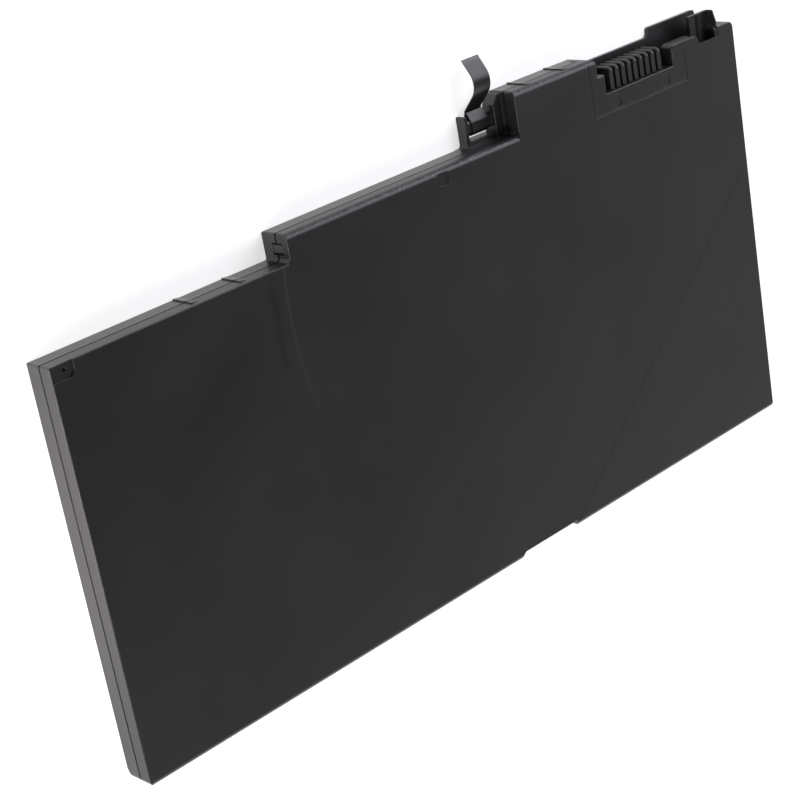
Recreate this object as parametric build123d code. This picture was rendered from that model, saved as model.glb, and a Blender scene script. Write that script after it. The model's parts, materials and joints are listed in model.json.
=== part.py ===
from build123d import *
from math import asin, atan2, cos, hypot, sin, sqrt, tan
import os

# Slim internal laptop battery: two moulded shells round three pouch cells, a stepped circuit board and a comb
# connector. Millimetres. While it is built, X runs from the left end, Y from the bottom edge and Z up from
# the rear face. Each piece is then moved so that the origin is the centre of the rear face over the cells.

# Case outline
CASE_LENGTH = 245.0
CASE_THICKNESS = 9.1
LEFT_DEPTH = 106.2            # bottom edge to top wall, over the left stretch
LEFT_LENGTH = 70.5            # left end to the first step
MIDDLE_RISE = 7.0             # first step
RAISED_RISE = 11.6            # second step
RAISED_LENGTH = 32.6          # second step to the connector
CORNER_RISE = 7.0             # top right corner above the middle stretch
CORNER_LENGTH = 6.8
CORNER_RADIUS = 1.7
END_RADIUS = 1.6              # the two bottom corners, seen from the front
STEP_RADIUS = 0.5
STEP_FILLET = 1.0             # inner corner at the foot of each step

# Shells
WALL = 1.3
FRONT_PANEL = 0.9
REAR_PANEL = 0.9
FRONT_HEIGHT = 4.1            # parting line below the front face
PARTING_GAP = 0.3             # width of the line that shows between the shells
TONGUE = 0.6                  # thickness of the rear shell's tongue inside the lap
TONGUE_HEIGHT = 1.2
LAP_CLEARANCE = 0.05
EDGE_RADIUS = 0.35            # front edge all round
BOTTOM_RADIUS = 1.4           # front edge along the bottom
CROWN_RADIUS = 1.7            # front edge along the middle and raised stretches
REAR_RADIUS = 0.4
LEAD_IN_LENGTH = 3.2          # sloped rear edge along the bottom
LEAD_IN_DEPTH = 0.9
LEAD_IN_BACKING = 1.0         # stiffening strip behind that slope

# Recess in the bottom edge
NOTCH_START = 131.6
NOTCH_LENGTH = 21.2
NOTCH_DEPTH = 1.6
NOTCH_SLOPE = 2.2
NOTCH_STEP = 0.8

# Ridges across the top wall
RIDGE_HEIGHT = 0.3
RIDGE_LENGTH = 2.2
LEFT_RIDGES = (41.2, 56.0)    # from the left end
RAISED_RIDGES = (6.6, 21.1)   # from the second step

# Snap catch in the first step
CATCH_HEIGHT = 2.0            # above the left stretch
CATCH_WIDTH = 2.1
CATCH_RISE = 2.0              # above the parting line
CATCH_FALL = 1.6              # below the parting line
CATCH_SLIT = 0.45             # beside the catch
CATCH_END_GAP = 0.15          # in front of it
CATCH_SET_BACK = 0.1

# Marks on the face
PAD_LENGTH = 6.3              # pad in the top left corner, which slopes down to its inner corner
PAD_DEPTH = 3.9
PAD_SINK = 0.4                # at the inner corner
PAD_RADIUS = 1.8
PIN_HOLE_RADIUS = 0.5
PIN_HOLE_DEPTH = 0.3
PIN_HOLE_FROM_LEFT = 3.7
PIN_HOLE_FROM_TOP = 1.6
EJECTOR_SINK = 0.15
MIDDLE_EJECTOR_RADIUS = 2.2
MIDDLE_EJECTOR_DROP = 2.3     # below the middle stretch
MIDDLE_EJECTOR_START = 52.8   # from the first step
SIDE_EJECTOR_RADIUS = 1.85
SIDE_EJECTOR_DROP = 1.8       # below the middle stretch
SIDE_EJECTOR_INSET = 3.8      # from the two sides of the pocket
FRAME_LINE_WIDTH = 0.4        # shallow line round the connector
FRAME_LINE_DEPTH = 0.15
FRAME_FOOT_DEPTH = 0.06       # of its bottom stretch
FRAME_MARGIN_LEFT = 6.1
FRAME_MARGIN_RIGHT = 5.5
FRAME_DROP = 5.5

# Connector pocket, cable channel and the walls behind them
CONNECTOR_FROM_RIGHT = 28.0
POCKET_RISE = 1.3             # pocket floor above the middle stretch
POCKET_JOG = 2.7              # the pocket is wider by this near its mouth
JOG_RISE = 5.2
CHANNEL_RISE = 2.0
BACK_WALL = 1.1
BACK_RISE = 9.25
TALL_BACK_RISE = 11.8
TALL_BACK_RADIUS = 1.0
BACK_STEP_FILLET = 1.2
LIP_LENGTH = 12.3
LIP_START_RADIUS = 1.2
LIP_RADIUS = 2.4
LIP_CHAMFER = 0.25
SILL_RISE = 2.3               # face above the channel floor beside the hook
HOOK_LENGTH = 8.7
HOOK_THICKNESS = 0.9
HOOK_RISE = 11.8
BRACE_THICKNESS = 0.4
BRACE_SET_BACK = 0.9          # brace front below the face, at the top
BRACE_FRONT = 3.5             # how far that front slopes down to the face
BRACE_FOOT = 6.0              # foot of the brace below the hook's top
STRUT_THICKNESS = 1.2         # strut along the lower edge of the brace
STRUT_TOP = 1.15              # strut's upper and lower sides below the hook's top, on the leaf
STRUT_FOOT = 2.4
STRUT_END = 0.5               # strut's upper side above the foot, at the face
PEG_HOLE_RADIUS = 0.4         # small hole in the top wall beside the hook
PEG_HOLE_DEPTH = 0.8
PEG_HOLE_FROM_RIGHT = 3.0
PEG_HOLE_BELOW_FACE = 2.2
KEY_LENGTH = 3.6              # where the front shell reaches further down, beside the connector
KEY_FALL = 2.0
FOOT_SINK = 0.35              # brace and foot below the face
SWELL_FROM_LEFT = 3.9         # rounded swelling on the leaf
SWELL_WIDTH = 2.6
SWELL_RISE = 0.4

# Ribbon loop
LOOP_LENGTH = 13.3
LOOP_POST = 1.05
LOOP_HEIGHT = 8.2
LOOP_FORWARD = 3.1            # how far the loop stands off the rear face
LOOP_SILL = 1.6
LOOP_CORNER = 0.6
LOOP_TIP_CORNER = 0.4
LOOP_INNER_CORNER = 0.8
LOOP_FLARE = 1.0
LOOP_EDGE = 0.3
GUSSET_LENGTH = 3.1
GUSSET_HEIGHT = 8.7
GUSSET_FORWARD = 4.0
GUSSET_TIP = 1.0              # flat top beside the second step
LOOP_BAR_RADIUS = 1.1
LOOP_BAR_RISE = 5.8           # centre of the bar's rounded top above the middle stretch
LOOP_BAR_DROP = 1.8           # from there to the centre of its rounded foot
LOOP_BAR_FORWARD = 1.55       # both centres off the rear face
RIBBON_WIDTH = 6.0
RIBBON_THICKNESS = 0.3
RIBBON_FIT = 0.05
RIBBON_FROM_POST = 1.55
RIBBON_FOLD = (3.3, -0.45)    # fold above the bar's upper centre, and off it
RIBBON_CREST = (6.7, 6.2)     # from the fold, upwards and forwards
RIBBON_TIP = (13.4, 1.6)
RIBBON_FOLD_RADIUS = 0.5
RIBBON_CREST_RADIUS = 5.0
RIBBON_LAP = 0.6              # how far the glued end stops short of the fold

# Cells
CELL_COUNT = 3
CELL_CLEARANCE = 0.6
DIVIDER = 1.0
DIVIDER_CLEARANCE = 0.4
DIVIDER_HEIGHT = 4.0
DIVIDER_INSET = 4.0
POUCH_EDGE = 1.0              # bevel along the pouch's edges
TERRACE = 3.0
TERRACE_INSET = 2.0
TERRACE_THICKNESS = 0.3
TAPE = 0.15
TAPE_INSET = 5.0
FOAM = 0.95
FOAM_WIDTH = 8.0
FOAM_INSET = 16.0
TAB_WIDTH = 5.0
TAB_THICKNESS = 0.15
TAB_SPREAD = 36.0
TAB_GRIP = 2.0                # length of tab that lies on the terrace

# Board
BOARD_CLEARANCE = 0.4
BOARD_STRIP = 4.6
BOARD_STAND = 2.5
BOARD_THICKNESS = 0.8
BOARD_GAP = 0.3               # between the board and the cell terraces
STAND_WIDTH = 2.4             # square posts under the board
STAND_INSET = 8.0             # first and last board post under a cell's width
WELD_PAD_THICKNESS = 0.2
WELD_PAD_LENGTH = 3.6
WELD_PAD_WIDTH = 6.0
INSULATOR_THICKNESS = 0.2
INSULATOR_INSET = 5.0
THERMISTOR_RADIUS = 0.6
THERMISTOR_LENGTH = 1.8
THERMISTOR_ROOM = 5.0
LEAD_SIZE = 0.3
LEAD_SPACING = 1.0

# Chips on the board: length, width and height, and the count of legs along each side
GAUGE_CHIP = (6.5, 3.4, 1.0)
GAUGE_LEG_COUNT = 8
GUARD_CHIP = (3.0, 2.4, 0.9)
GUARD_LEG_COUNT = 4
TRANSISTOR = (4.9, 3.9, 1.5)
TRANSISTOR_LEG_COUNT = 4
FUSE = (5.4, 3.2, 1.4)
FUSE_LEG_COUNT = 2
SENSE_RESISTOR = (6.4, 2.6, 0.7)
SENSE_LEG_COUNT = 1
LEG = 0.6                     # how far legs stand out
LEG_SHARE = 0.5               # leg width over leg pitch
CHIP_LIFT = 0.1               # gap under the body
CHIP_ROW_DROP = 5.0           # row of chips below the middle stretch's top wall
GAUGE_FROM_STEP = 25.0        # from the first step
GUARD_FROM_STEP = 42.0
CAPACITORS_FROM_STEP = 8.0
RESISTORS_FROM_STEP = 50.0
POWER_RISE = 3.9              # power chips above the middle stretch's top wall
CHARGE_FROM_STEP = 6.5        # from the second step
DISCHARGE_FROM_STEP = 13.0
FUSE_FROM_STEP = 19.5
SENSE_FROM_STEP = 13.0
CAPACITOR_COUNT = 6
CAPACITOR_PITCH = 1.8
CAPACITOR_HEIGHT = 0.8
RESISTOR_COUNT = 8
RESISTOR_PITCH = 1.5
RESISTOR_HEIGHT = 0.5
SMALL_CHIP_LENGTH = 1.6
SMALL_CHIP_WIDTH = 0.8

# Comb connector
RIB_COUNT = 9
RIB_PITCH = 2.54
RIB_THICKNESS = 1.5
RIB_FROM_LEFT = 3.8           # pocket's left side to the first rib's centre
RIB_TO_RIGHT = 4.7            # last rib's centre to the pocket's right side
RIB_RISE = 6.4                # rib tops above the pocket floor
RIB_RADIUS = 1.4
RIB_CHAMFER = 0.3
RIB_SET_BACK = 0.7            # rib fronts below the face
RIB_REAR = 2.2
HOUSING_MARGIN = 0.9
HOUSING_DEPTH = 4.8
HOUSING_FIT = 0.2
HOUSING_BACK = 0.8
CONTACT_CLEARANCE = 0.07      # between a contact and the ribs beside it
CONTACT_THICKNESS = 0.2
CONTACT_SINK = 2.0            # below the rib tops
CONTACT_HEIGHT = 2.8
CONTACT_STEM = 0.35
CONTACT_TAIL = 2.4
CONTACT_FIT = 0.02

SPARE = 1.0                   # how far a cut runs past the surface it opens
UP = Vector(0, 0, 1)
RIGHT = Vector(1, 0, 0)
INTO = Vector(0, 1, 0)

# Places along X
x_step_1 = LEFT_LENGTH
x_hook_right = CASE_LENGTH - CORNER_LENGTH
x_pocket_right = CASE_LENGTH - CONNECTOR_FROM_RIGHT
comb_length = (RIB_COUNT - 1) * RIB_PITCH
x_pocket_left = x_pocket_right - RIB_FROM_LEFT - comb_length - RIB_TO_RIGHT
x_raised_right = x_pocket_left - POCKET_JOG
x_step_2 = x_raised_right - RAISED_LENGTH
x_notch_right = NOTCH_START + NOTCH_LENGTH
x_loop = x_step_2 - LOOP_LENGTH
x_lip_right = x_pocket_right + LIP_LENGTH
x_hook_left = x_hook_right - HOOK_LENGTH
x_rib_first = x_pocket_left + RIB_FROM_LEFT
housing_overhang = RIB_THICKNESS / 2 + HOUSING_MARGIN
x_housing = (x_rib_first - housing_overhang, x_rib_first + comb_length + housing_overhang)

# Places along Y
y_left = LEFT_DEPTH
y_middle = y_left + MIDDLE_RISE
y_raised = y_middle + RAISED_RISE
y_corner = y_middle + CORNER_RISE
y_pocket = y_middle + POCKET_RISE
y_jog = y_pocket + JOG_RISE
y_channel = y_middle + CHANNEL_RISE
y_sill = y_channel + SILL_RISE
y_board = y_left - WALL - BOARD_CLEARANCE - BOARD_STRIP
y_terrace = y_board - BOARD_GAP
y_cell_top = y_terrace - TERRACE
y_cell_bottom = max(NOTCH_DEPTH + WALL, LEAD_IN_LENGTH) + CELL_CLEARANCE
y_board_right = y_pocket - WALL - BOARD_CLEARANCE
y_rib_top = y_pocket + RIB_RISE
y_comb = y_board_right + 2 * HOUSING_FIT

# Heights above the rear face
z_part = CASE_THICKNESS - FRONT_HEIGHT
z_ceiling = CASE_THICKNESS - FRONT_PANEL
z_cell_low = REAR_PANEL + TAPE
z_cell_high = z_ceiling - FOAM
z_board_low = REAR_PANEL + BOARD_STAND
z_board = z_board_low + BOARD_THICKNESS
z_weld_pad = z_board + WELD_PAD_THICKNESS
z_tab = z_weld_pad + TAB_THICKNESS
z_rib_front = CASE_THICKNESS - RIB_SET_BACK

contact_width = RIB_PITCH - RIB_THICKNESS - 2 * CONTACT_CLEARANCE
board_inset = WALL + BOARD_CLEARANCE
inner_length = CASE_LENGTH - 2 * WALL
divider_room = DIVIDER + 2 * DIVIDER_CLEARANCE
cell_width = (inner_length - 2 * CELL_CLEARANCE - (CELL_COUNT - 1) * divider_room) / CELL_COUNT
cell_lefts = [WALL + CELL_CLEARANCE + i * (cell_width + divider_room) for i in range(CELL_COUNT)]
x_thermistor = cell_lefts[CELL_COUNT // 2] + cell_width / 2


def block(x, y, z):
    """A box from the low to the high end on each axis."""
    sizes = [high - low for low, high in (x, y, z)]
    return Pos(x[0], y[0], z[0]) * Box(*sizes, align=(Align.MIN, Align.MIN, Align.MIN))


def shape(points, radius=0.0):
    """A flat outline through the points, with one radius for all corners or a list of them."""
    return make_face(FilletPolyline(*points, radius=radius, close=True).edges())


def plate(outline, low, high):
    """An outline in the XY plane, carried from one height to another."""
    return Pos(0, 0, low) * extrude(outline, high - low)


def beam(section, left, right):
    """A section drawn in Y and Z, carried along X."""
    return Pos(left, 0, 0) * extrude(Plane.YZ * section, right - left)


def edge_cut(start, inward_1, inward_2, length, radius):
    """What is taken off to round a straight edge that runs from start towards +X or +Y."""
    along = inward_1.cross(inward_2)
    if along.X + along.Y < 0:
        return edge_cut(start, inward_2, inward_1, length, radius)
    bulge = radius * (1 - sqrt(0.5))
    arc = ThreePointArc((radius, 0), (bulge, bulge), (0, radius))
    rest = Polyline((0, radius), (-SPARE, radius), (-SPARE, -SPARE), (radius, -SPARE), (radius, 0))
    return extrude(Plane(start, x_dir=inward_1, z_dir=along) * make_face(arc.edges() + rest.edges()), length)


def case_outline(inset):
    """Outline of the closed case, drawn in by the inset. A negative radius is an inner corner's."""
    i = inset
    corners = [
        (i, i, END_RADIUS),
        (NOTCH_START - NOTCH_SLOPE - i, i, 0),
        (NOTCH_START - i, NOTCH_DEPTH + i, 0),
        (x_notch_right + i, NOTCH_DEPTH + i, 0),
        (x_notch_right + NOTCH_STEP + i, i, 0),
        (CASE_LENGTH - i, i, END_RADIUS),
        (CASE_LENGTH - i, y_corner - i, CORNER_RADIUS),
        (x_hook_right + i, y_corner - i, 0),
        (x_hook_right + i, y_channel - i, 0),
        (x_pocket_right + i, y_channel - i, 0),
        (x_pocket_right + i, y_pocket - i, 0),
        (x_pocket_left - i, y_pocket - i, 0),
        (x_pocket_left - i, y_jog - i, 0),
        (x_raised_right - i, y_jog - i, 0),
        (x_raised_right - i, y_raised - i, CORNER_RADIUS),
        (x_step_2 + i, y_raised - i, STEP_RADIUS),
        (x_step_2 + i, y_middle - i, -STEP_FILLET),
        (x_step_1 + i, y_middle - i, STEP_RADIUS),
        (x_step_1 + i, y_left - i, -STEP_FILLET),
        (i, y_left - i, STEP_RADIUS),
    ]
    radii = [i - r if r < 0 else max(r - i, 0) for _, _, r in corners]
    return shape([(x, y) for x, y, _ in corners], radii)


def ridges(low, high):
    """Saw-tooth ridges that cross the top wall between two heights."""
    places = [(x, y_left) for x in LEFT_RIDGES] + [(x_step_2 + x, y_raised) for x in RAISED_RIDGES]
    solids = []
    for x, y in places:
        root = y - WALL / 2
        tooth = shape([(x, root), (x, y + RIDGE_HEIGHT), (x + RIDGE_LENGTH, y), (x + RIDGE_LENGTH, root)])
        solids.append(plate(tooth, low, high))
    return solids


def housing_window():
    """Opening in the pocket floor that the connector housing passes through."""
    x = (x_housing[0] - HOUSING_FIT, x_housing[1] + HOUSING_FIT)
    y = (y_pocket - WALL - SPARE, y_pocket + SPARE)
    return block(x, y, (RIB_REAR - HOUSING_FIT, z_ceiling))


def front_shell():
    """Plain face, its walls down to the parting line, and what is moulded with them."""
    low = z_part + PARTING_GAP / 2
    face = CASE_THICKNESS
    body = plate(case_outline(0), low, face)
    body = fillet(body.edges().group_by(Axis.Z)[-1], EDGE_RADIUS)
    body += ridges(low, face - CROWN_RADIUS)
    body -= edge_cut(Vector(0, 0, face), UP * -1, INTO, CASE_LENGTH, BOTTOM_RADIUS)
    crowns = [(x_step_1, x_step_2, y_middle), (x_step_2, x_raised_right, y_raised)]
    for left, right, y in crowns:
        body -= edge_cut(Vector(left, y, face), INTO * -1, UP * -1, right - left, CROWN_RADIUS)

    body -= plate(case_outline(WALL), low - SPARE, z_ceiling)
    body -= plate(case_outline(WALL - TONGUE - LAP_CLEARANCE), low - SPARE, z_part + TONGUE_HEIGHT)
    body -= housing_window()
    body += cable_lip(low)
    body += cable_hook(low)
    body += corner_key(0, WALL - TONGUE - LAP_CLEARANCE)
    return body - catch_window() - face_marks() - peg_hole()


def cable_lip(low):
    """Hollow block in front of the cable channel, and the lower edge of the face beside the hook."""
    y_root = y_channel - WALL / 2
    x_root = x_hook_right + WALL / 2
    points = [(x_pocket_right, y_root), (x_pocket_right, y_corner), (x_lip_right, y_corner),
              (x_lip_right, y_root)]
    body = plate(shape(points, [0, LIP_START_RADIUS, LIP_RADIUS, 0]), low, CASE_THICKNESS)
    body = chamfer(body.edges().group_by(Axis.Z)[-1], LIP_CHAMFER)
    body -= block((x_pocket_right + WALL, x_lip_right - WALL), (y_channel, y_corner - WALL),
                  (low - SPARE, z_ceiling))
    sill = block((x_lip_right - WALL, x_root), (y_root, y_sill), (z_ceiling, CASE_THICKNESS))
    return [body, sill]


def cable_hook(low):
    """Upright leaf over the cable channel, tied to the face by a thin brace and a slanting strut."""
    y_top = y_middle + HOOK_RISE
    y_root = y_channel - WALL / 2
    high = low + HOOK_THICKNESS
    swell = x_hook_left + SWELL_FROM_LEFT
    start = (swell - SWELL_WIDTH / 2, high)
    end = (swell + SWELL_WIDTH / 2, high)
    sides = Polyline(end, (x_hook_right, high), (x_hook_right, low),
                     (x_hook_left, low), (x_hook_left, high), start)
    bulge = ThreePointArc(start, (swell, high + SWELL_RISE), end)
    section = Plane((0, y_top, 0), x_dir=RIGHT, z_dir=INTO * -1) * make_face(sides.edges() + bulge.edges())
    leaf = extrude(section, y_top - y_root)

    x_strut = x_hook_right - STRUT_THICKNESS
    face = CASE_THICKNESS - FOOT_SINK
    y_foot = y_top - BRACE_FOOT
    lower_side = [(y_foot, face), (y_foot, z_ceiling), (y_top - STRUT_FOOT, low)]
    whole = [(y_top, low), (y_top, face - BRACE_SET_BACK), (y_top - BRACE_FRONT, face)] + lower_side
    brace = beam(shape(whole, [0, STEP_RADIUS, 0, 0, 0, 0]), x_hook_right - BRACE_THICKNESS, x_hook_right)
    band = [(y_top - STRUT_TOP, low), (y_foot + STRUT_END, face)] + lower_side
    strut = beam(shape(band), x_strut, x_hook_right)
    foot = block((x_strut, x_hook_right + WALL / 2), (y_root, y_corner - WALL / 2), (z_ceiling, face))
    return [leaf, brace, strut, foot]


def corner_key(gap, depth):
    """Skin at the raised stretch's right end that the front shell takes from the rear one."""
    zone = block((x_raised_right - KEY_LENGTH - gap, x_raised_right + SPARE),
                 (y_raised - CORNER_RADIUS - gap, y_raised + SPARE), (0, CASE_THICKNESS))
    return zone & plate(case_outline(0) - case_outline(depth), z_part - KEY_FALL - gap, z_part + PARTING_GAP)


def peg_hole():
    """Small blind hole in the top wall of the right corner."""
    place = Pos(CASE_LENGTH - PEG_HOLE_FROM_RIGHT, y_corner, CASE_THICKNESS - PEG_HOLE_BELOW_FACE)
    return place * Rot(90, 0, 0) * Cylinder(PEG_HOLE_RADIUS, 2 * PEG_HOLE_DEPTH)


def catch_window():
    """Opening in the first step that takes the rear shell's catch."""
    y = y_left + CATCH_HEIGHT
    high = z_part + CATCH_RISE + CATCH_END_GAP
    return block((x_step_1 - SPARE, x_step_1 + WALL - TONGUE),
                 (y - CATCH_SLIT, y + CATCH_WIDTH + CATCH_SLIT), (z_part - SPARE, high))


def face_marks():
    """Sloped corner pad with its pin hole, ejector marks and the line round the connector."""
    face = CASE_THICKNESS
    pad = [(-SPARE, y_left - PAD_DEPTH), (PAD_LENGTH, y_left - PAD_DEPTH), (PAD_LENGTH, y_left + SPARE),
           (-SPARE, y_left + SPARE)]
    fall = PAD_SINK / (PAD_LENGTH + PAD_DEPTH)
    slope = Plane((0, y_left, face), x_dir=(1, 0, -fall), z_dir=(fall, -fall, 1))
    above_slope = extrude(slope * Rectangle(CASE_LENGTH, LEFT_DEPTH), SPARE)
    cuts = [above_slope & plate(shape(pad, [0, PAD_RADIUS, 0, 0]), face - PAD_SINK, face + SPARE)]
    pin = Pos(PIN_HOLE_FROM_LEFT, y_left - PIN_HOLE_FROM_TOP) * Circle(PIN_HOLE_RADIUS)
    cuts.append(plate(pin, face - PAD_SINK - PIN_HOLE_DEPTH, face))

    y_side = y_middle - SIDE_EJECTOR_DROP
    marks = [(x_step_1 + MIDDLE_EJECTOR_START, y_middle - MIDDLE_EJECTOR_DROP, MIDDLE_EJECTOR_RADIUS),
             (x_pocket_left + SIDE_EJECTOR_INSET, y_side, SIDE_EJECTOR_RADIUS),
             (x_pocket_right - SIDE_EJECTOR_INSET, y_side, SIDE_EJECTOR_RADIUS)]
    for x, y, radius in marks:
        cuts.append(plate(Pos(x, y) * Circle(radius), face - EJECTOR_SINK, face + SPARE))

    left = x_pocket_left - FRAME_MARGIN_LEFT
    right = x_pocket_right + FRAME_MARGIN_RIGHT
    bottom = y_pocket - FRAME_DROP
    sunk = (face - FRAME_LINE_DEPTH, face + SPARE)
    cuts.append(block((left, left + FRAME_LINE_WIDTH), (bottom, y_raised), sunk))
    cuts.append(block((right - FRAME_LINE_WIDTH, right), (bottom, y_sill), sunk))
    foot_sunk = (face - FRAME_FOOT_DEPTH, face + SPARE)
    cuts.append(block((left, right), (bottom, bottom + FRAME_LINE_WIDTH), foot_sunk))
    return cuts


def rear_shell():
    """Half with the rear face: walls up to the parting line, tongue, back wall, loop and inner ribs."""
    high = z_part - PARTING_GAP / 2
    body = plate(case_outline(0), 0, high)
    body += ridges(REAR_RADIUS, high)
    body -= plate(case_outline(WALL), REAR_PANEL, high + SPARE)
    ring = case_outline(WALL - TONGUE) - case_outline(WALL)
    body += plate(ring, high - WALL, z_part + TONGUE_HEIGHT)
    body -= housing_window()
    body += block((WALL / 2, CASE_LENGTH - WALL / 2), (WALL / 2, LEAD_IN_LENGTH),
                  (REAR_PANEL / 2, REAR_PANEL + LEAD_IN_BACKING))
    body -= rear_edges()
    body += back_wall()
    body += ribbon_loop()
    body += inner_ribs()
    recess, catch = snap_catch()
    return body - recess + catch - corner_key(PARTING_GAP, WALL - TONGUE)


def rear_edges():
    """Sloped lead-in along the bottom and rounded edges elsewhere on the rear face."""
    slope = shape([(-SPARE, -SPARE), (LEAD_IN_LENGTH, -SPARE), (LEAD_IN_LENGTH, 0), (WALL, LEAD_IN_DEPTH),
                   (-SPARE, LEAD_IN_DEPTH)])
    cuts = [beam(slope, -SPARE, CASE_LENGTH + SPARE)]
    cuts.append(edge_cut(Vector(0, 0, 0), UP, RIGHT, y_left, REAR_RADIUS))
    cuts.append(edge_cut(Vector(CASE_LENGTH, 0, 0), UP, RIGHT * -1, y_corner, REAR_RADIUS))
    tops = [(0, x_step_1, y_left), (x_step_1, x_step_2, y_middle), (x_step_2, x_raised_right, y_raised),
            (x_hook_right, CASE_LENGTH, y_corner)]
    for left, right, y in tops:
        cuts.append(edge_cut(Vector(left, y, 0), UP, INTO * -1, right - left, REAR_RADIUS))
    return cuts


def back_wall():
    """Upright wall behind the connector, taller behind the cable channel."""
    y_back = y_middle + BACK_RISE
    y_tall = y_middle + TALL_BACK_RISE
    y_root = y_pocket - WALL / 2
    x_root = x_raised_right - WALL / 2
    points = [(x_root, y_root), (x_hook_right, y_root), (x_hook_right, y_tall), (x_pocket_right, y_tall),
              (x_pocket_right, y_back), (x_root, y_back)]
    return plate(shape(points, [0, 0, TALL_BACK_RADIUS, TALL_BACK_RADIUS, BACK_STEP_FILLET, 0]), 0, BACK_WALL)


def loop_bar_centre():
    """Y and Z of the centre of the ribbon bar's rounded top."""
    return y_middle + LOOP_BAR_RISE, LOOP_BAR_FORWARD


def ribbon_loop():
    """Post with its sill, bar and gusset, which make a loop beside the second step."""
    y_root = y_middle - WALL / 2
    y_top = y_middle + LOOP_HEIGHT
    y_window = y_middle + LOOP_SILL
    x_root = x_step_2 + WALL / 2
    x_post = x_loop + LOOP_POST
    x_flare = x_loop - 2 * LOOP_FLARE
    frame = [(x_flare, y_root), (x_flare, y_middle), (x_loop, y_middle), (x_loop, y_top), (x_post, y_top),
             (x_post, y_window), (x_root, y_window), (x_root, y_root)]
    corners = [0, 0, LOOP_FLARE, LOOP_CORNER, LOOP_TIP_CORNER, LOOP_INNER_CORNER, 0, 0]
    x_gusset = x_step_2 - GUSSET_LENGTH
    y_gusset = y_raised - REAR_RADIUS
    gusset = [(x_gusset, y_root), (x_root, y_root), (x_root, y_gusset), (x_step_2 - GUSSET_TIP, y_gusset),
              (x_gusset, y_middle + GUSSET_HEIGHT)]
    plates = [plate(shape(frame, corners), 0, LOOP_FORWARD), plate(shape(gusset), 0, GUSSET_FORWARD)]
    rounded = [fillet(solid.edges().group_by(Axis.Z)[-1], LOOP_EDGE) for solid in plates]
    bar_y, bar_z = loop_bar_centre()
    bar = Pos(bar_y - LOOP_BAR_DROP / 2, bar_z) * SlotCenterToCenter(LOOP_BAR_DROP, 2 * LOOP_BAR_RADIUS)
    return rounded + [beam(bar, x_loop + LOOP_POST / 2, x_step_2)]


def inner_ribs():
    """Ribs between the cells and posts under the board."""
    solids = []
    for left in cell_lefts[1:]:
        middle = left - divider_room / 2
        solids.append(block((middle - DIVIDER / 2, middle + DIVIDER / 2),
                            (y_cell_bottom + DIVIDER_INSET, y_cell_top - DIVIDER_INSET),
                            (REAR_PANEL / 2, REAR_PANEL + DIVIDER_HEIGHT)))
    low_row = y_board + BOARD_STRIP / 2
    places = []
    for left in cell_lefts:
        places += [(left + STAND_INSET, low_row), (left + cell_width - STAND_INSET, low_row)]
    from_edge = board_inset + STAND_WIDTH
    high_row = y_raised - from_edge
    places += [(x_step_2 + from_edge, high_row), (x_raised_right - from_edge, high_row)]
    half = STAND_WIDTH / 2
    for x, y in places:
        solids.append(block((x - half, x + half), (y - half, y + half), (REAR_PANEL / 2, z_board_low)))
    return solids


def snap_catch():
    """Recess in the step below the parting line, and the catch that rises from it into the window."""
    y = y_left + CATCH_HEIGHT
    recess = block((x_step_1 - SPARE, x_step_1 + WALL - TONGUE),
                   (y - CATCH_SLIT, y + CATCH_WIDTH + CATCH_SLIT), (z_part - CATCH_FALL, z_part))
    tongue = block((x_step_1 + CATCH_SET_BACK, x_step_1 + WALL - TONGUE / 2), (y, y + CATCH_WIDTH),
                   (z_part - CATCH_FALL, z_part + TONGUE_HEIGHT))
    leaf = block((x_step_1 + CATCH_SET_BACK, x_step_1 + WALL - TONGUE - LAP_CLEARANCE), (y, y + CATCH_WIDTH),
                 (z_part - CATCH_FALL, z_part + CATCH_RISE))
    return recess, [tongue, leaf]


def strip_section(points, radii, thickness):
    """Section of a bent strip that follows a line with rounded corners, with half the thickness each side."""
    line = [Vector(*p) for p in points]
    ways = [(b - a).normalized() for a, b in zip(line, line[1:])]
    sides = []
    for side in (thickness / 2, -thickness / 2):
        normals = [UP.cross(way) for way in ways]
        edge = [(line[0] + normals[0] * side, 0)]
        for corner, radius, n_1, n_2 in zip(line[1:], radii, normals, normals[1:]):
            turn = 1 if n_1.cross(n_2).Z > 0 else -1
            edge.append((corner + (n_1 + n_2) * (side / (1 + n_1.dot(n_2))), radius - side * turn))
        edge.append((line[-1] + normals[-1] * side, 0))
        sides.append(edge)
    outline = sides[0] + sides[1][::-1]
    return shape([point for point, _ in outline], [radius for _, radius in outline])


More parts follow.
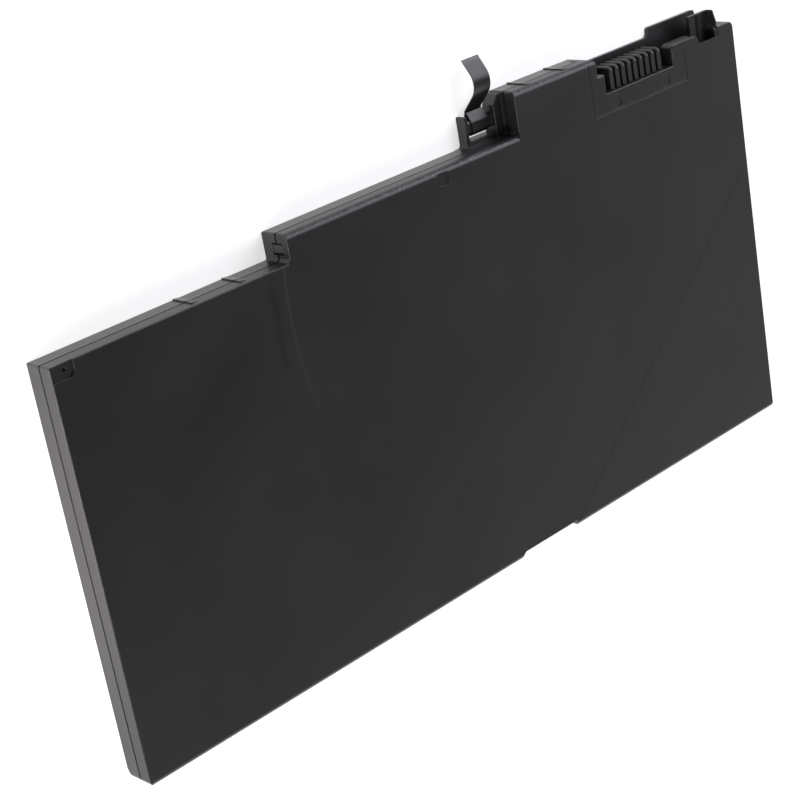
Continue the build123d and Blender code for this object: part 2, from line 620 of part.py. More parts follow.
def pull_ribbon():
    """Strip folded round the loop's bar, glued to itself, with a free end that curls forwards and back."""
    bar_y, bar_z = loop_bar_centre()
    wrap = LOOP_BAR_RADIUS + RIBBON_FIT + RIBBON_THICKNESS / 2
    fold_y = bar_y + RIBBON_FOLD[0]
    fold_z = bar_z + RIBBON_FOLD[1]
    reach = hypot(*RIBBON_FOLD)
    lean = asin(wrap / reach)
    towards_bar = atan2(bar_z - fold_z, bar_y - fold_y)
    front = towards_bar - lean
    rear = towards_bar + lean
    foot_y = bar_y - LOOP_BAR_DROP - wrap
    front_z = bar_z + wrap
    rear_z = bar_z - wrap
    points = [
        (fold_y + RIBBON_LAP * cos(front), fold_z + RIBBON_LAP * sin(front)),
        (fold_y + (front_z - fold_z) / tan(front), front_z),
        (foot_y, front_z),
        (foot_y, rear_z),
        (fold_y + (rear_z - fold_z) / tan(rear), rear_z),
        (fold_y, fold_z),
        (fold_y + RIBBON_CREST[0], fold_z + RIBBON_CREST[1]),
        (fold_y + RIBBON_TIP[0], fold_z + RIBBON_TIP[1]),
    ]
    turn = wrap - RIBBON_FIT
    radii = [wrap, turn, turn, wrap, RIBBON_FOLD_RADIUS, RIBBON_CREST_RADIUS]
    section = strip_section(points, radii, RIBBON_THICKNESS)
    left = x_loop + LOOP_POST + RIBBON_FROM_POST
    return beam(section, left, left + RIBBON_WIDTH)


def pouch_cell(left):
    """Pouch with bevelled edges and a thin sealed terrace where its tabs leave."""
    right = left + cell_width
    body = block((left, right), (y_cell_bottom, y_cell_top), (z_cell_low, z_cell_high))
    rims = body.edges().group_by(Axis.Z)
    body = chamfer(rims[0] + rims[-1], POUCH_EDGE)
    terrace = block((left + TERRACE_INSET, right - TERRACE_INSET), (y_cell_top - TERRACE, y_terrace),
                    (z_weld_pad - TERRACE_THICKNESS, z_weld_pad))
    return body + terrace


def tab_places(left):
    """Centres along X of a cell's positive and negative tabs."""
    middle = left + cell_width / 2
    return {"positive": middle - TAB_SPREAD / 2, "negative": middle + TAB_SPREAD / 2}


def board_outline():
    """Board that follows the steps of the case."""
    inset = board_inset
    right = CASE_LENGTH - inset
    return shape([
        (inset, y_board), (right, y_board), (right, y_board_right), (x_raised_right - inset, y_board_right),
        (x_raised_right - inset, y_raised - inset), (x_step_2 + inset, y_raised - inset),
        (x_step_2 + inset, y_middle - inset), (x_step_1 + inset, y_middle - inset),
        (x_step_1 + inset, y_left - inset), (inset, y_left - inset)])


def chip(x, y, size, legs):
    """Chip package seated on the board, with a row of legs along each long side."""
    length, width, height = size
    z = (z_board + CHIP_LIFT, z_board + height)
    body = block((x - length / 2, x + length / 2), (y - width / 2, y + width / 2), z)
    pitch = length / legs
    leg = pitch * LEG_SHARE
    for i in range(legs):
        left = x - length / 2 + (i + 0.5) * pitch - leg / 2
        for edge in (y - width / 2, y + width / 2):
            body += block((left, left + leg), (edge - LEG, edge + LEG), (z_board, z_board + height / 2))
    return body


def chip_row(x, y, count, pitch, height):
    """A row of small two-ended chip parts seated on the board."""
    parts = []
    for i in range(count):
        span = (x + i * pitch, x + i * pitch + SMALL_CHIP_WIDTH)
        parts.append(block(span, (y, y + SMALL_CHIP_LENGTH), (z_board, z_board + height)))
    return Compound(children=parts)


def thermistor():
    """Bead on the middle cell's terrace with two leads soldered to the board."""
    x = x_thermistor
    y_bead = y_cell_top + THERMISTOR_LENGTH / 2 + LEAD_SIZE
    z_bead = z_weld_pad + THERMISTOR_RADIUS
    body = Pos(x, y_bead, z_bead) * Rot(90, 0, 0) * Cylinder(THERMISTOR_RADIUS, THERMISTOR_LENGTH)
    y_end = y_board + BOARD_STRIP / 2
    for side in (-LEAD_SPACING / 2, LEAD_SPACING / 2):
        span = (x + side - LEAD_SIZE / 2, x + side + LEAD_SIZE / 2)
        body += block(span, (y_bead, y_end), (z_weld_pad, z_weld_pad + LEAD_SIZE))
        body += block(span, (y_end - 3 * LEAD_SIZE, y_end), (z_board, z_weld_pad + LEAD_SIZE))
    return body


def connector_housing():
    """Comb of ribs with rounded fronts on a block that stands on the board."""
    y_block = y_pocket - WALL - HOUSING_DEPTH
    y_neck = y_pocket + HOUSING_FIT
    z_top = z_ceiling - HOUSING_FIT
    z_back = RIB_REAR + HOUSING_BACK
    body = block(x_housing, (y_block, y_neck), (z_board, z_top))
    rib = shape([(y_comb, RIB_REAR), (y_rib_top, RIB_REAR), (y_rib_top, z_rib_front), (y_neck, z_rib_front),
                 (y_neck, z_top), (y_comb, z_top)], [0, 0, RIB_RADIUS, 0, 0, 0])
    for i in range(RIB_COUNT):
        middle = x_rib_first + i * RIB_PITCH
        solid = beam(rib, middle - RIB_THICKNESS / 2, middle + RIB_THICKNESS / 2)
        sides = solid.edges().group_by(Axis.X)
        above_neck = [e for e in sides[0] + sides[-1] if e.center().Y > y_neck + HOUSING_FIT]
        body += chamfer([e for e in above_neck if e.center().Z > z_back], RIB_CHAMFER)
    body += block(x_housing, (y_comb, y_rib_top - RIB_RADIUS), (RIB_REAR, z_back))
    for i in range(RIB_COUNT - 1):
        middle = x_rib_first + (i + 0.5) * RIB_PITCH
        room = (middle - contact_width / 2 - CONTACT_FIT, middle + contact_width / 2 + CONTACT_FIT)
        stem_room = (z_board - SPARE, z_board + CONTACT_STEM + CONTACT_FIT)
        leaf_room = (z_back, z_back + CONTACT_HEIGHT + CONTACT_FIT)
        body -= block(room, (y_block - SPARE, y_neck + SPARE), stem_room)
        body -= block(room, (y_comb, y_neck + SPARE), leaf_room)
    return body


def contact(index):
    """Spring contact: two leaves joined at the back, a stem through the housing and a soldered tail."""
    left = x_rib_first + (index + 0.5) * RIB_PITCH - contact_width / 2
    right = left + contact_width
    thick = CONTACT_THICKNESS
    y_end = y_rib_top - CONTACT_SINK
    z_low = RIB_REAR + HOUSING_BACK
    z_high = z_low + CONTACT_HEIGHT
    leaves = block((left, right), (y_comb, y_end), (z_low, z_high))
    leaves -= block((left + thick, right - thick), (y_comb + thick, y_end + SPARE),
                    (z_low + thick, z_high + SPARE))
    y_tail = y_pocket - WALL - HOUSING_DEPTH - CONTACT_TAIL
    return leaves + block((left, right), (y_tail, y_comb + thick), (z_board, z_board + CONTACT_STEM))


def save(name, solid):
    """Moves a piece to the part's own frame and writes it."""
    export_step(Pos(-CASE_LENGTH / 2, -LEFT_DEPTH / 2, 0) * solid, f"parts/{name}.step")


def save_cells():
    """Cells with the tape under each, and the tabs and weld pads that join them to the board."""
    y_weld = y_board + (BOARD_STRIP - WELD_PAD_LENGTH) / 2
    y_tab = (y_terrace - TAB_GRIP, y_weld + WELD_PAD_LENGTH)
    for number, left in enumerate(cell_lefts, start=1):
        save(f"pouch_cell_{number}", pouch_cell(left))
        tape = (left + TAPE_INSET, left + cell_width - TAPE_INSET)
        y_tape = (y_cell_bottom + TAPE_INSET, y_cell_top - TAPE_INSET)
        save(f"cell_tape_{number}", block(tape, y_tape, (REAR_PANEL, z_cell_low)))
        for pole, middle in tab_places(left).items():
            tab = (middle - TAB_WIDTH / 2, middle + TAB_WIDTH / 2)
            pad = (middle - WELD_PAD_WIDTH / 2, middle + WELD_PAD_WIDTH / 2)
            save(f"cell_{number}_{pole}_tab", block(tab, y_tab, (z_weld_pad, z_tab)))
            save(f"cell_{number}_{pole}_weld_pad", block(pad, (y_weld, y_tab[1]), (z_board, z_weld_pad)))


def save_padding():
    """Foam between the cells and the front shell, and the strip over the tabs, notched for the thermistor."""
    span = (cell_lefts[0] + POUCH_EDGE, cell_lefts[-1] + cell_width - POUCH_EDGE)
    foam = {"lower": y_cell_bottom + FOAM_INSET, "upper": y_cell_top - FOAM_INSET - FOAM_WIDTH}
    for name, y in foam.items():
        save(f"foam_strip_{name}", block(span, (y, y + FOAM_WIDTH), (z_cell_high, z_ceiling)))

    y_strip = (y_terrace - TAB_GRIP, y_board + BOARD_STRIP - BOARD_CLEARANCE)
    z_strip = (z_tab, z_tab + INSULATOR_THICKNESS)
    strip = block((INSULATOR_INSET, CASE_LENGTH - INSULATOR_INSET), y_strip, z_strip)
    room = (x_thermistor - THERMISTOR_ROOM / 2, x_thermistor + THERMISTOR_ROOM / 2)
    y_notch = y_board + BOARD_STRIP / 2 + LEAD_SIZE
    save("insulating_strip", strip - block(room, (y_cell_top, y_notch), z_strip))


def save_board():
    """Circuit board and what is soldered to it."""
    save("circuit_board", plate(board_outline(), z_board_low, z_board))
    save("thermistor", thermistor())
    y_middle_row = y_middle - CHIP_ROW_DROP
    save("gauge_chip", chip(x_step_1 + GAUGE_FROM_STEP, y_middle_row, GAUGE_CHIP, GAUGE_LEG_COUNT))
    save("guard_chip", chip(x_step_1 + GUARD_FROM_STEP, y_middle_row, GUARD_CHIP, GUARD_LEG_COUNT))
    save("sense_resistor", chip(x_step_2 + SENSE_FROM_STEP, y_middle_row, SENSE_RESISTOR, SENSE_LEG_COUNT))
    y_small = y_middle_row - SMALL_CHIP_LENGTH / 2
    save("chip_capacitors", chip_row(x_step_1 + CAPACITORS_FROM_STEP, y_small,
                                     CAPACITOR_COUNT, CAPACITOR_PITCH, CAPACITOR_HEIGHT))
    save("chip_resistors", chip_row(x_step_1 + RESISTORS_FROM_STEP, y_small,
                                    RESISTOR_COUNT, RESISTOR_PITCH, RESISTOR_HEIGHT))
    y_power = y_middle + POWER_RISE
    save("charge_transistor", chip(x_step_2 + CHARGE_FROM_STEP, y_power, TRANSISTOR, TRANSISTOR_LEG_COUNT))
    save("discharge_transistor", chip(x_step_2 + DISCHARGE_FROM_STEP, y_power,
                                      TRANSISTOR, TRANSISTOR_LEG_COUNT))
    save("fuse", chip(x_step_2 + FUSE_FROM_STEP, y_power, FUSE, FUSE_LEG_COUNT))


os.makedirs("parts", exist_ok=True)
save("front_shell", front_shell())
save("rear_shell", rear_shell())
save("pull_ribbon", pull_ribbon())
save_cells()
save_padding()
save_board()
save("connector_housing", connector_housing())
for index in range(RIB_COUNT - 1):
    save(f"contact_{index + 1}", contact(index))
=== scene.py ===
"""Slim internal laptop battery: finishes, floor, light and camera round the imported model."""
import json
from math import pi

import bpy
from mathutils import Matrix, Vector


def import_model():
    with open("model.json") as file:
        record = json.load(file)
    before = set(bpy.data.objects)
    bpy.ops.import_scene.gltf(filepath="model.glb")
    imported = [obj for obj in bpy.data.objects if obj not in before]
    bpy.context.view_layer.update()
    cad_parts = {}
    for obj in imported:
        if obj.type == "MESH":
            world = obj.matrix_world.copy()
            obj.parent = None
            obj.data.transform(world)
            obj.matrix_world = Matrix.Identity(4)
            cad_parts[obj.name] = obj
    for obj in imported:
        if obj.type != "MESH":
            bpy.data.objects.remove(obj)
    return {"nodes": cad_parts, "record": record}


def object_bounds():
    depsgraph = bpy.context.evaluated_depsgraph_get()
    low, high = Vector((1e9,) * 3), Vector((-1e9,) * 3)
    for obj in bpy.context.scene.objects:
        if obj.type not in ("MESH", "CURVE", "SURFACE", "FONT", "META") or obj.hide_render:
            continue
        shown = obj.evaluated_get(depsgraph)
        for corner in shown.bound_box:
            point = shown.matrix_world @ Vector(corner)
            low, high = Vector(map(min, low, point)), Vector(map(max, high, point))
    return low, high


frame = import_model()
cad_low, cad_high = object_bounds()
nodes = frame["nodes"]

MM = 0.001

# Camera, in metres: it looks down on the plain face with the connector edge at the top of the picture
CAMERA_PLACE = Vector((-0.3351, 0.1900, 0.3701))
CAMERA_FORWARD = Vector((0.60703, -0.35827, -0.70933))
CAMERA_UP = Vector((0.36401, 0.91882, -0.15255))
CAMERA_LENS = 90.78
CAMERA_NEAR = 0.01

# Floor, in metres, and the strength of its glow
FLOOR_HALF = 3.0
FLOOR_DROP = 0.02 * MM      # just below the battery, so that the two faces don't share a plane
FLOOR_GLOW = 0.6

# Studio surround: strengths of its light, and spans of the direction's Y or Z over which they change
HORIZON_LIGHT = 1.0
ZENITH_LIGHT = 0.04
HEIGHT_SPAN_Z = (0.2, 0.8)
FRONT_LIGHT = 0.65
FRONT_SPAN_Y = (-0.42, -0.75)
REAR_SHARE = 0.05           # share of the light that is left low at the rear
REAR_SPAN_Y = (0.3, 0.6)
REAR_SPAN_Z = (0.3, 0.15)

NOISE_SPAN = (0.3, 0.7)     # nearly all values of a noise lie between these
GLOSS_SPREAD = 0.06         # how far the small parts' roughness strays to either side

# Upward part of the normal: on a level face, where it begins to turn, and on a wall with its draft
NORMAL_FACE = 0.999
NORMAL_TURN = 0.97
NORMAL_WALL = 0.3

# Both shells, in millimetres and shares of the sheen
EDGE_SOFTNESS = 0.22        # the small rounding that a mould leaves on every sharp edge
CLOUD_SIZE = 30.0           # patches that differ slightly in tone and gloss
FACE_ROUGHNESS = (0.33, 0.39)
GRAIN_SIZE = 0.8            # the mould's grain is about 0.25 mm, drawn coarser so that it shows
GRAIN_RELIEF = 0.08
GRAIN_TONE = (0.94, 1.06)
GRAIN_STRENGTH = (0.06, 1.0)    # of its relief, on the faces and walls, and on the edges between them
FLECK_SPAN = (0.45, 0.7)        # the grain's values at which the painted highlight along the edges begins and is full
# share of the colour and specular level that the painted highlight takes away and adds
FLECK_PAINTED_HIGHLIGHT = (-0.1, 0.6)
PLAIN_SPECULAR = 0.5            # the shader's own level, where the sheen is one
SEAM_HEIGHT = 5.0           # joint between the shells
SEAM_SPAN = (0.4, 0.2)      # distances from the joint at which its painted shade begins and is full
# share of the colour and specular level that the painted shade takes away at the joint
SEAM_PAINTED_SHADE = 0.85
SEAM_BREAKS = [             # where the catch and the key cross the joint: centre, radius
    ((-52.0, 56.2, SEAM_HEIGHT), 1.5),
    ((61.4, 71.7, SEAM_HEIGHT), 2.2),
]

# Faint lines on the face, some moulded and some painted shade, in millimetres from the origin: start, end,
# half width, and share of the sheen lost
FACE_LINES = [
    ((119.7, 23.6, 0.0), (30.3, -52.5, 0.0), 0.7, 0.2),     # knit line
    ((-59.0, 49.0, 0.0), (-59.4, 30.0, 0.0), 2.0, 0.18),    # sink streak below the first step
    ((59.7, 56.2, 0.0), (59.7, 70.0, 0.0), 0.5, 0.24),      # painted shade in the left side of the line round the connector
    ((99.6, 57.0, 0.0), (99.6, 63.5, 0.0), 0.4, 0.24),      # and its right side, painted shade too
]
FLOW_ARC_CENTRE = (33.1, 40.5, 0.0)
FLOW_ARC_RADIUS = 88.3
FLOW_ARC_WIDTH = 0.7
FLOW_ARC_SPAN = (8.0, 40.0)     # along Y: where it begins to show and where it shows most
FLOW_ARC_GAIN = 0.42            # share of the sheen gained
PAD_CORNER = (-116.5, 49.4)     # inner corner of the pad at the top left, darkened with painted shade against its brighter reflection, X and Y
PAD_EDGE = 0.2
# share of the sheen taken away on the pad, painted shade against its brighter reflection
PAD_PAINTED_SHADE = 0.15
LEFT_EDGE = cad_low[0] / MM + 0.5    # X up to which painted shade darkens the left end's front edge, taking its highlight away
LEFT_EDGE_PAINTED_SHADE = 0.7
DUST_SPACING = 22.0
DUST_RADIUS = 0.28
DUST_SHARE = 0.28               # share of the cells, one spacing wide, that hold a speck
DUST_GAIN = 3.0                 # how much paler than the plastic a speck is


def linear(code):
    """Linear colour of an sRGB hex code."""
    parts = [int(code[i:i + 2], 16) / 255 for i in (1, 3, 5)]
    return [c / 12.92 if c <= 0.04045 else ((c + 0.055) / 1.055) ** 2.4 for c in parts] + [1.0]


def add(tree, kind, *values, **named):
    """Adds a node. The values fill its inputs in order, and a name with a capital fills that input.

    Any other name is a setting. A value is a number, a vector or a colour, or else a socket to link, or a
    node to link by its first output."""
    node = tree.nodes.new("ShaderNode" + kind)
    for name, value in named.items():
        if name.islower():
            setattr(node, name, value)
    filled = list(zip([socket for socket in node.inputs if socket.enabled], values))
    filled += [(node.inputs[name.replace("_", " ")], named[name]) for name in named if not name.islower()]
    for socket, value in filled:
        if isinstance(value, bpy.types.Node):
            value = next(output for output in value.outputs if output.enabled)
        if isinstance(value, bpy.types.NodeSocket):
            tree.links.new(value, socket)
        else:
            socket.default_value = value
    return node


def new_material(name):
    """A material with no nodes yet, and its node tree."""
    material = bpy.data.materials.new(name)
    material.use_nodes = True
    material.node_tree.nodes.clear()
    return material, material.node_tree


def position(tree):
    """Place on the model, in millimetres from its origin."""
    return add(tree, "VectorMath", add(tree, "TexCoord").outputs["Object"], 1 / MM, operation="SCALE")


def stretched(tree, place, stretch):
    """The place with the axes shrunk, so that a pattern on it is drawn out along them by the stretch."""
    return add(tree, "VectorMath", place, [1 / share for share in stretch], operation="MULTIPLY")


def line_mark(tree, flat, start, end, width):
    """One on a straight line across the face, and nothing further off than the width."""
    start = Vector(start)
    along = Vector(end) - start
    offset = add(tree, "VectorMath", flat, start, operation="SUBTRACT")
    share = add(tree, "VectorMath", offset, along / along.length_squared, operation="DOT_PRODUCT")
    nearest = add(tree, "VectorMath", along, add(tree, "Clamp", share), operation="SCALE")
    distance = add(tree, "VectorMath", offset, nearest, operation="DISTANCE")
    return add(tree, "MapRange", distance, width, 0.0)


def arc_mark(tree, flat, parts):
    """One on the arc that the flow front left on the left half of the face."""
    radius = add(tree, "VectorMath", flat, FLOW_ARC_CENTRE, operation="DISTANCE")
    offset = add(tree, "Math", radius, FLOW_ARC_RADIUS, operation="SUBTRACT")
    line = add(tree, "MapRange", add(tree, "Math", offset, operation="ABSOLUTE"), FLOW_ARC_WIDTH, 0.0)
    within = add(tree, "MapRange", parts["Y"], *FLOW_ARC_SPAN)
    left = add(tree, "Math", parts["X"], 0.0, operation="LESS_THAN")
    for limit in (within, left):
        line = add(tree, "Math", line, limit, operation="MULTIPLY")
    return line


def face_marks_and_painted_shade(tree, flat, parts):
    """Sheen of the face: one where it is plain, more on the flow arc, less on the knit line and the sink
    streak, and less again where painted shade lies on the sides of the line round the connector and on the
    pad.
    """
    sheen = add(tree, "Math", arc_mark(tree, flat, parts), FLOW_ARC_GAIN, 1.0, operation="MULTIPLY_ADD")
    for start, end, width, loss in FACE_LINES:
        mark = line_mark(tree, flat, start, end, width)
        sheen = add(tree, "Math", mark, -loss, sheen, operation="MULTIPLY_ADD")
    # painted shade on the pad
    pad_x, pad_y = PAD_CORNER
    beside = add(tree, "MapRange", parts["X"], pad_x, pad_x - PAD_EDGE)
    above = add(tree, "MapRange", parts["Y"], pad_y, pad_y + PAD_EDGE)
    pad = add(tree, "Math", beside, above, operation="MULTIPLY")
    return add(tree, "Math", pad, -PAD_PAINTED_SHADE, sheen, operation="MULTIPLY_ADD")


def painted_seam_shade(tree, place, parts):
    """One along the joint between the shells, for the painted shade there, where the rounded lips of the
    walls take the light away.
    """
    offset = add(tree, "Math", parts["Z"], SEAM_HEIGHT, operation="SUBTRACT")
    line = add(tree, "MapRange", add(tree, "Math", offset, operation="ABSOLUTE"), *SEAM_SPAN)
    for centre, radius in SEAM_BREAKS:
        away = add(tree, "VectorMath", place, centre, operation="DISTANCE")
        outside = add(tree, "Math", away, radius, operation="GREATER_THAN")
        line = add(tree, "Math", line, outside, operation="MULTIPLY")
    return line


def dust(tree, flat):
    """A few pale specks, thinly spread."""
    cells = add(tree, "TexVoronoi", flat, Scale=1 / DUST_SPACING, voronoi_dimensions="2D").outputs
    radius = DUST_RADIUS / DUST_SPACING
    speck = add(tree, "MapRange", cells["Distance"], radius, radius / 2)
    chance = add(tree, "SeparateXYZ", cells["Color"]).outputs["X"]
    held = add(tree, "Math", chance, 1.0 - DUST_SHARE, operation="GREATER_THAN")
    return add(tree, "Math", speck, held, operation="MULTIPLY")


def slopes(tree):
    """How far the surface is a wall, an edge between a wall and a face, or the upper face."""
    upward = add(tree, "SeparateXYZ", add(tree, "NewGeometry").outputs["Normal"]).outputs["Z"]
    wall = add(tree, "MapRange", add(tree, "Math", upward, operation="ABSOLUTE"), NORMAL_TURN, NORMAL_WALL)
    off_face = add(tree, "MapRange", wall, 0.0, 0.3)
    off_wall = add(tree, "MapRange", wall, 1.0, 0.6)
    edge = add(tree, "Math", off_face, off_wall, operation="MULTIPLY")
    face = add(tree, "MapRange", upward, NORMAL_TURN, NORMAL_FACE)
    return wall, edge, face


def shell_plastic(name, dark, light, wall_roughness, marked):
    """Black PC/ABS, injection moulded, with a satin face and a fine grain that shows on the edges and walls.

    The face stays near black with a soft, slightly clouded sheen. The grain breaks up the light along the
    edges, where it also lightens the colour as a painted highlight, and painted shade darkens the joint
    between the shells. A marked shell also has the faint lines and the arc of its face, painted shade on the
    sides of the line round the connector, on the pad and on its left end's front edge, and a few specks of
    dust."""
    material, tree = new_material(name)
    place = position(tree)
    parts = add(tree, "SeparateXYZ", place).outputs
    wall, edge, face = slopes(tree)
    cloud = add(tree, "TexNoise", place, Scale=1 / CLOUD_SIZE, Detail=3.0)
    grain = add(tree, "TexNoise", place, Scale=1 / GRAIN_SIZE, Detail=2.0)

    # painted shade along the joint between the shells darkens the colour and lowers the specular level
    joint = add(tree, "Math", painted_seam_shade(tree, place, parts), wall, operation="MULTIPLY")
    plain = add(tree, "MapRange", joint, 0.0, 1.0, 1.0, 1.0 - SEAM_PAINTED_SHADE)
    # painted highlight: the grain lightens the colour in spots along the edges
    painted_highlight_flecks = add(tree, "MapRange", grain, *FLECK_SPAN, *FLECK_PAINTED_HIGHLIGHT)
    sheen = add(tree, "Math", painted_highlight_flecks, edge, plain, operation="MULTIPLY_ADD")
    tone = add(tree, "MapRange", grain, *NOISE_SPAN, *GRAIN_TONE)
    if marked:
        flat = add(tree, "VectorMath", place, (1.0, 1.0, 0.0), operation="MULTIPLY")
        # the face's moulded lines and arc, with painted shade on the pad and the sides of the line round the
        # connector
        marks_and_painted_shade = add(tree, "Mix", face, 1.0, face_marks_and_painted_shade(tree, flat, parts), data_type="FLOAT")
        # painted shade on the front edge of the left end, which takes its highlight away
        at_end = add(tree, "Math", parts["X"], LEFT_EDGE, operation="LESS_THAN")
        left_edge_shade_mask = add(tree, "Math", edge, at_end, operation="MULTIPLY")
        left = add(tree, "MapRange", left_edge_shade_mask, 0.0, 1.0, 1.0, 1.0 - LEFT_EDGE_PAINTED_SHADE)
        for share in (marks_and_painted_shade, left):
            sheen = add(tree, "Math", sheen, share, operation="MULTIPLY")
        specks = add(tree, "Math", dust(tree, flat), face, operation="MULTIPLY")
        tone = add(tree, "Math", specks, DUST_GAIN, tone, operation="MULTIPLY_ADD")

    colour = add(tree, "Mix", cloud, linear(dark), linear(light), data_type="RGBA")
    # the sheen scales the colour as well, which paints its highlight and shade into it
    for share in (tone, sheen):
        colour = add(tree, "VectorMath", colour, share, operation="SCALE")
    satin = add(tree, "MapRange", cloud, *NOISE_SPAN, *FACE_ROUGHNESS)
    rough = add(tree, "Mix", wall, satin, wall_roughness, data_type="FLOAT")
    level = add(tree, "Math", sheen, PLAIN_SPECULAR, operation="MULTIPLY")
    soft = add(tree, "Bevel", Radius=EDGE_SOFTNESS * MM)
    strength = add(tree, "MapRange", edge, 0.0, 1.0, *GRAIN_STRENGTH)
    bump = add(tree, "Bump", Height=grain, Strength=strength, Distance=GRAIN_RELIEF * MM, Normal=soft)
    shader = add(tree, "BsdfPrincipled", Base_Color=colour, Roughness=rough, Normal=bump, IOR=1.56,
                 Specular_IOR_Level=level)
    add(tree, "OutputMaterial", shader)
    return material


def connector_plastic():
    """Black glass-filled nylon, moulded: very dark and dull, with fine streaks of fibre near the surface."""
    material, tree = new_material("moulded_glass_filled_nylon")
    streak_size = 0.5
    streaks = add(tree, "TexNoise", stretched(tree, position(tree), (1.0, 4.0, 1.0)),
                  Scale=1 / streak_size, Detail=3.0)
    colour = add(tree, "Mix", streaks, linear("#131314"), linear("#1b1b1c"), data_type="RGBA")
    rough = add(tree, "MapRange", streaks, *NOISE_SPAN, 0.42, 0.54)
    bump = add(tree, "Bump", Height=streaks, Strength=0.2, Distance=0.02 * MM)
    shader = add(tree, "BsdfPrincipled", Base_Color=colour, Roughness=rough, Normal=bump, IOR=1.53)
    add(tree, "OutputMaterial", shader)
    return material


def ribbon_film():
    """Black polyester film, slit to a ribbon: satin sheen, fine lines along it and a scuffed pale tip."""
    material, tree = new_material("slit_polyester_film")
    line_size, scuff_size, scuff_length = 0.25, 0.6, 1.4
    place = position(tree)
    lines = add(tree, "TexNoise", stretched(tree, place, (1.0, 12.0, 12.0)), Scale=1 / line_size, Detail=3.0)
    colour = add(tree, "Mix", lines, linear("#0e0e0f"), linear("#161617"), data_type="RGBA")

    ribbon = nodes["pull_ribbon"]
    tip = max((ribbon.matrix_world @ v.co).y for v in ribbon.data.vertices) / MM
    near_tip = add(tree, "MapRange", add(tree, "SeparateXYZ", place).outputs["Y"], tip - scuff_length, tip)
    patches = add(tree, "TexNoise", place, Scale=1 / scuff_size, Detail=3.0)
    worn = add(tree, "Math", near_tip, add(tree, "MapRange", patches, 0.35, 0.6), operation="MULTIPLY")
    scuffed = add(tree, "Mix", worn, colour, linear("#77777a"), data_type="RGBA")

    rough = add(tree, "MapRange", lines, *NOISE_SPAN, 0.3, 0.38)
    shader = add(tree, "BsdfPrincipled", Base_Color=scuffed, Roughness=rough, IOR=1.6)
    add(tree, "OutputMaterial", shader)
    return material


def grained(name, dark, light, roughness, size, stretch=(1.0, 1.0, 1.0), relief=0.0, metallic=0.0, ior=1.5):
    """A finish whose colour, gloss and relief follow one noise. Its size and relief are in millimetres.

    The IOR that is given to start with is the shader's own, and the metals keep it."""
    material, tree = new_material(name)
    grain = add(tree, "TexNoise", stretched(tree, position(tree), stretch), Scale=1 / size, Detail=3.0)
    colour = add(tree, "Mix", grain, linear(dark), linear(light), data_type="RGBA")
    rough = add(tree, "MapRange", grain, *NOISE_SPAN, roughness - GLOSS_SPREAD, roughness + GLOSS_SPREAD)
    bump = add(tree, "Bump", Height=grain, Strength=0.5, Distance=relief * MM)
    shader = add(tree, "BsdfPrincipled", Base_Color=colour, Roughness=rough, Normal=bump, Metallic=metallic,
                 IOR=ior)
    add(tree, "OutputMaterial", shader)
    return material


def finishes():
    """One material for each of the record's slots."""
    rolled = (10.0, 1.0, 1.0)
    fibrous = (4.0, 1.0, 1.0)
    return {
        "shell_plastic": shell_plastic("satin_moulded_pc_abs", "#19191b", "#1f1f21", 0.4, marked=True),
        "connector_plastic": connector_plastic(),
        "ribbon_film": ribbon_film(),
        # warm bright metal, a little uneven as electroplate is
        "contact_metal": grained("gold_plated_bronze", "#c9a04a", "#dab669", 0.28, 0.4,
                                 relief=0.004, metallic=1.0),
        # silvery foil, soft and finely puckered over the folded cell
        "pouch_foil": grained("laminated_aluminium_foil", "#b6b8bc", "#cbcdd1", 0.36, 1.6,
                              relief=0.05, metallic=1.0),
        # bright metals with the fine lines of the rolls
        "tab_aluminium": grained("rolled_aluminium", "#cdced0", "#dfe0e2", 0.3, 0.3, rolled,
                                 relief=0.004, metallic=1.0),
        "tab_nickel": grained("rolled_nickel", "#b9b2a4", "#ccc5b8", 0.3, 0.3, rolled,
                              relief=0.004, metallic=1.0),
        # milky tissue that shows its fibres
        "adhesive_tape": grained("acrylic_tissue_tape", "#d4d4cd", "#e6e6e0", 0.5, 0.5, fibrous,
                                 relief=0.01, ior=1.48),
        # dull black with open pores
        "foam": grained("sliced_polyurethane_foam", "#222222", "#3a3a3a", 0.9, 0.5, relief=0.2),
        # amber sheet, smooth and glossy
        "insulating_film": grained("cast_polyimide_film", "#a3681a", "#b9822a", 0.22, 3.0,
                                   relief=0.005, ior=1.7),
        # green coat, faintly uneven over the glass cloth
        "board_laminate": grained("solder_masked_glass_epoxy", "#0d4426", "#165a35", 0.35, 0.6,
                                  relief=0.01, ior=1.55),
        # grey-black matt resin with fine filler
        "chip_resin": grained("moulded_epoxy", "#1a1a1b", "#272728", 0.55, 0.3, relief=0.01, ior=1.55),
        # tan body with a faint speckle
        "ceramic": grained("fired_ceramic", "#a38d73", "#bca88f", 0.45, 0.2, relief=0.005, ior=1.7),
    }


def dress_nodes():
    """Gives each node of the model the finish of its slot. The rear shell has smoother walls, and none of the
    lines, arc and specks of the front shell's face, nor the painted shade there.
    """
    made = finishes()
    rear = shell_plastic("smooth_moulded_pc_abs", "#212123", "#272729", 0.3, marked=False)
    for part in frame["record"]["subparts"]:
        mesh = nodes[part["node"]].data
        mesh.materials.clear()
        mesh.materials.append(rear if part["node"] == "rear_shell" else made[part["material_slot"]])


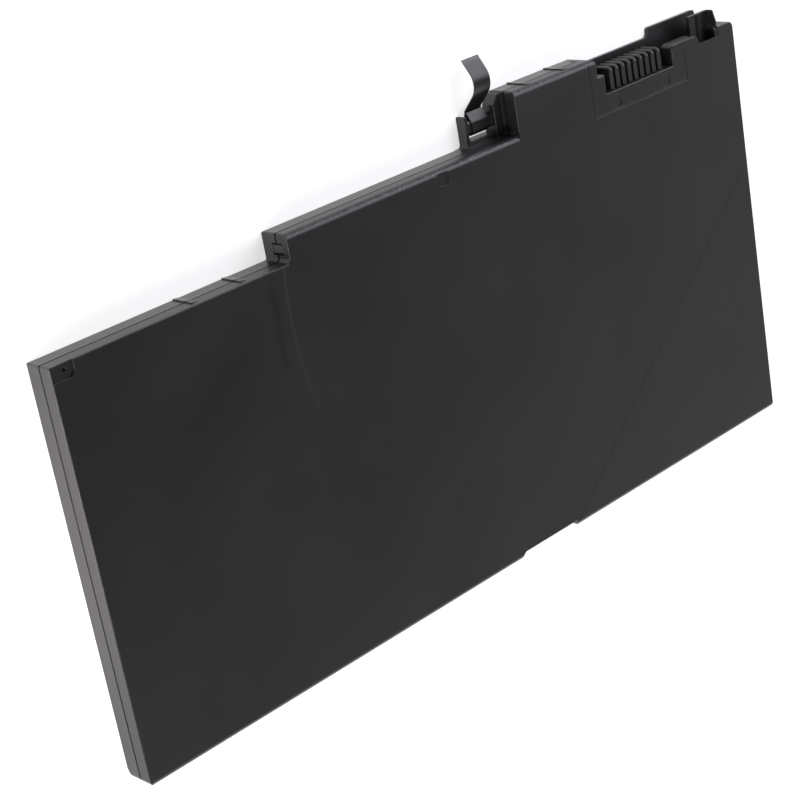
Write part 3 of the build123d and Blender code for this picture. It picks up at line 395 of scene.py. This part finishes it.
def floor():
    """White paper floor. Camera, glossy and transmitted rays also see it glow, so that it is white.

    It still takes light from the studio, so it keeps the battery's shadow."""
    signs = ((-1, -1), (1, -1), (1, 1), (-1, 1))
    corners = [(x * FLOOR_HALF, y * FLOOR_HALF, -FLOOR_DROP) for x, y in signs]
    mesh = bpy.data.meshes.new("floor")
    mesh.from_pydata(corners, [], [(0, 1, 2, 3)])
    sheet = bpy.data.objects.new("floor", mesh)
    bpy.context.scene.collection.objects.link(sheet)

    material, tree = new_material("white_paper")
    rays = add(tree, "LightPath").outputs
    seen = rays["Is Camera Ray"]
    for kind in ("Is Glossy Ray", "Is Transmission Ray"):
        seen = add(tree, "Math", seen, rays[kind], operation="MAXIMUM")
    strength = add(tree, "Math", seen, FLOOR_GLOW, operation="MULTIPLY")
    glow = add(tree, "Emission", linear("#ffffff"), strength)
    paper = add(tree, "BsdfDiffuse", linear("#efefef"))
    add(tree, "OutputMaterial", add(tree, "AddShader", paper, glow))
    mesh.materials.append(material)


def world():
    """Studio surround, bright at the horizon and the front, dim low at the rear. The camera sees it white."""
    surround = bpy.data.worlds.new("studio")
    surround.use_nodes = True
    tree = surround.node_tree
    tree.nodes.clear()
    direction = add(tree, "SeparateXYZ", add(tree, "TexCoord").outputs["Generated"]).outputs
    height = add(tree, "MapRange", direction["Z"], *HEIGHT_SPAN_Z, HORIZON_LIGHT, ZENITH_LIGHT)
    behind = add(tree, "MapRange", direction["Y"], *REAR_SPAN_Y)
    below = add(tree, "MapRange", direction["Z"], *REAR_SPAN_Z)
    rear = add(tree, "Math", behind, below, operation="MULTIPLY")
    shade = add(tree, "MapRange", rear, 0.0, 1.0, 1.0, REAR_SHARE)
    front = add(tree, "MapRange", direction["Y"], *FRONT_SPAN_Y, 0.0, FRONT_LIGHT)
    level = add(tree, "Math", height, shade, front, operation="MULTIPLY_ADD")
    seen = add(tree, "LightPath").outputs["Is Camera Ray"]
    strength = add(tree, "Mix", seen, level, 1.0, data_type="FLOAT")
    add(tree, "OutputWorld", add(tree, "Background", linear("#ffffff"), strength))
    bpy.context.scene.world = surround


def lamp(name, direction, distance, size, radiance, aim=(0.0, 0.0, 0.0), colour="#ffffff"):
    """Soft box that faces the aim point, with the radiance that its surface would show."""
    light = bpy.data.lights.new(name, "AREA")
    light.shape = "RECTANGLE"
    light.size, light.size_y = size
    light.energy = radiance * pi * size[0] * size[1]
    light.color = linear(colour)[:3]
    holder = bpy.data.objects.new(name, light)
    way = Vector(direction).normalized()
    holder.location = Vector(aim) + way * distance
    holder.rotation_euler = way.to_track_quat("Z", "Y").to_euler()
    holder.visible_camera = False
    bpy.context.scene.collection.objects.link(holder)


def lamps():
    """A small soft box at the left, a wide cool one at the right rear, and a warm bar by the left wall."""
    left_wall = (cad_low[0], 0.01, 0.004)
    lamp("left_softbox", (-0.70, -0.36, 0.61), distance=0.9, size=(0.3, 0.3), radiance=7.0)
    lamp("rear_softbox", (0.60, 0.55, 0.55), distance=0.9, size=(0.8, 0.6), radiance=2.6, colour="#f3f5ff")
    lamp("left_bar", (-1.0, 0.0, 0.1), distance=0.055, size=(0.09, 0.008), radiance=42.0, aim=left_wall,
         colour="#fff0ee")


def camera():
    """Camera at the photograph's angle."""
    data = bpy.data.cameras.new("camera")
    data.lens = CAMERA_LENS
    data.clip_start = CAMERA_NEAR
    holder = bpy.data.objects.new("camera", data)
    back = -CAMERA_FORWARD.normalized()
    right = CAMERA_UP.cross(back).normalized()
    up = back.cross(right)
    turn = Matrix((right, up, back)).transposed()
    holder.matrix_world = Matrix.Translation(CAMERA_PLACE) @ turn.to_4x4()
    bpy.context.scene.collection.objects.link(holder)
    bpy.context.scene.camera = holder


dress_nodes()
floor()
world()
lamps()
camera()
bpy.context.scene.view_settings.view_transform = "Standard"
